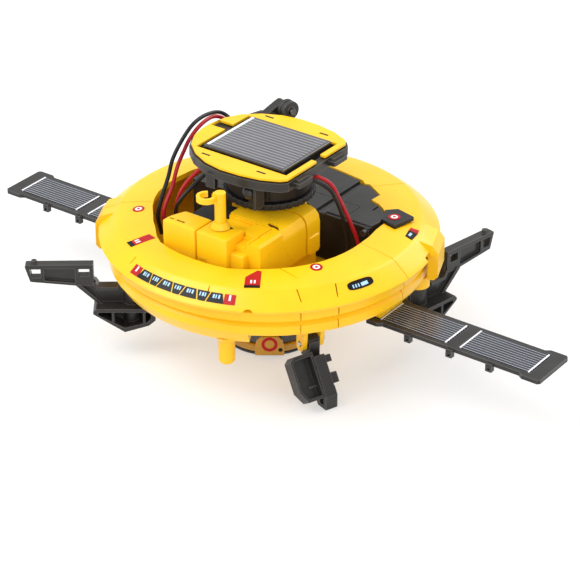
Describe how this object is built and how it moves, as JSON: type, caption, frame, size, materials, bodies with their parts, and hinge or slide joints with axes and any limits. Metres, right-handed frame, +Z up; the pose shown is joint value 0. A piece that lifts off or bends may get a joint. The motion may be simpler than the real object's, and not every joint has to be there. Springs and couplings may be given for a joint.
{
  "type": "solar robot kit disc station",
  "caption": "Round disc hull on a turning helmet base, with solar wings, folding leg, swinging arms and a swivelling solar panel turret.",
  "frame": {"origin": "centre of the base plate's underside, on the axis the station turns about", "axes": "+X along the right wing, +Y to the rear, +Z up"},
  "size_m": [0.274, 0.1417, 0.0916],
  "materials": {
    "yellow_plastic": "glossy moulded yellow plastic",
    "grey_plastic": "satin moulded dark grey plastic",
    "smoke_plastic": "glossy smoke-dark plastic",
    "black_plastic": "satin black plastic",
    "amber_plastic": "deep amber-yellow plastic",
    "white_plastic": "natural white nylon",
    "steel": "plain turned steel",
    "brass": "turned brass",
    "wing_cell": "dark printed cell face with thin pale lines",
    "solar_cell": "dark cell under clear resin with pale stripes",
    "red_wire": "red insulated wire",
    "black_wire": "black insulated wire"
  },
  "bodies": {
    "hull": {"hull_top_front": "yellow_plastic", "hull_top_right": "yellow_plastic", "hull_top_rear": "yellow_plastic", "hull_bottom_front": "yellow_plastic", "hull_bottom_rear": "yellow_plastic", "gearbox_tray": "yellow_plastic", "gearbox_front": "yellow_plastic", "gearbox_rear": "yellow_plastic", "wing_left": "grey_plastic", "wing_right": "grey_plastic", "wing_screw_right_1": "steel", "wing_screw_right_2": "steel", "wing_screw_left_1": "steel", "wing_screw_left_2": "steel", "wing_cell_right_inner": "wing_cell", "wing_cell_right_outer": "wing_cell", "wing_cell_left_inner": "wing_cell", "wing_cell_left_outer": "wing_cell", "wire_back_red": "red_wire", "wire_back_black": "black_wire", "wire_side_red": "red_wire", "wire_side_black": "black_wire", "wire_front_red": "red_wire", "wire_front_black": "black_wire", "inner_deck": "grey_plastic", "deck_badge": "black_plastic", "motor_housing": "black_plastic", "compound_axle": "steel", "motor_can": "steel", "motor_cap": "white_plastic", "leg_pin": "steel", "arm_pin_left": "steel", "arm_pin_right": "steel"},
    "base": {"helmet_dome": "smoke_plastic", "helmet_band": "amber_plastic", "base_plate": "grey_plastic", "helmet_badge": "amber_plastic", "output_shaft": "steel", "output_gear": "white_plastic"},
    "idler": {"compound_gear": "white_plastic"},
    "rotor": {"motor_pinion": "brass", "motor_shaft": "steel"},
    "leg": {"leg": "grey_plastic"},
    "arm_left": {"arm_left": "grey_plastic"},
    "arm_right": {"arm_right": "grey_plastic"},
    "hook": {"hook_post": "yellow_plastic"},
    "turntable": {"turntable_ring": "grey_plastic", "turntable_drum": "black_plastic", "panel_frame": "grey_plastic", "panel_plate": "yellow_plastic", "solar_cell": "solar_cell", "ball_stud": "grey_plastic", "caster_hinge_pin": "steel"},
    "caster_arm": {"caster_arm": "grey_plastic", "caster_axle": "steel"},
    "caster_wheel": {"caster_wheel": "grey_plastic"}
  },
  "joints": [
    {"name": "panel_swivel", "type": "hinge", "parent": "hull", "child": "turntable", "pos_m": [0, 0, 0.0676], "axis": [0, 0, 1], "range_deg": [-30, 30], "deforming": ["wire_back_red", "wire_back_black", "wire_side_red", "wire_side_black", "wire_front_red", "wire_front_black"]},
    {"name": "base_spin", "type": "hinge", "parent": "hull", "child": "base", "pos_m": [0, 0, 0.03], "axis": [0, 0, 1], "continuous": true},
    {"name": "idler_spin", "type": "hinge", "parent": "hull", "child": "idler", "pos_m": [0.00606, -0.01481, 0.042], "axis": [0, 0, 1], "continuous": true},
    {"name": "motor_spin", "type": "hinge", "parent": "hull", "child": "rotor", "pos_m": [-0.003, -0.028, 0.046], "axis": [0, 0, 1], "continuous": true},
    {"name": "leg_fold", "type": "hinge", "parent": "hull", "child": "leg", "pos_m": [0.0391, -0.0318, 0.0234], "axis": [-0.342, -0.9397, 0], "range_deg": [0, 45]},
    {"name": "arm_left_swing", "type": "hinge", "parent": "hull", "child": "arm_left", "pos_m": [-0.0387, -0.0435, 0.03], "axis": [0, 0, 1], "range_deg": [-20, 40]},
    {"name": "arm_right_swing", "type": "hinge", "parent": "hull", "child": "arm_right", "pos_m": [0.0571, 0.0253, 0.03], "axis": [0, 0, 1], "range_deg": [-60, 5]},
    {"name": "hook_turn", "type": "hinge", "parent": "hull", "child": "hook", "pos_m": [0.0047, -0.0389, 0.075], "axis": [0, 0, 1], "range_deg": [-60, 60]},
    {"name": "caster_tilt", "type": "hinge", "parent": "turntable", "child": "caster_arm", "pos_m": [-0.0216, 0.0246, 0.0836], "axis": [-0.9563, 0.2924, 0], "range_deg": [-20, 30]},
    {"name": "caster_roll", "type": "hinge", "parent": "caster_arm", "child": "caster_wheel", "pos_m": [-0.01411, 0.03235, 0.0874], "axis": [-0.9563, 0.2924, 0], "continuous": true}
  ],
  "couplings": [
    {"joint": "idler_spin", "follows": "base_spin", "ratio": -4},
    {"joint": "motor_spin", "follows": "base_spin", "ratio": 16}
  ]
}
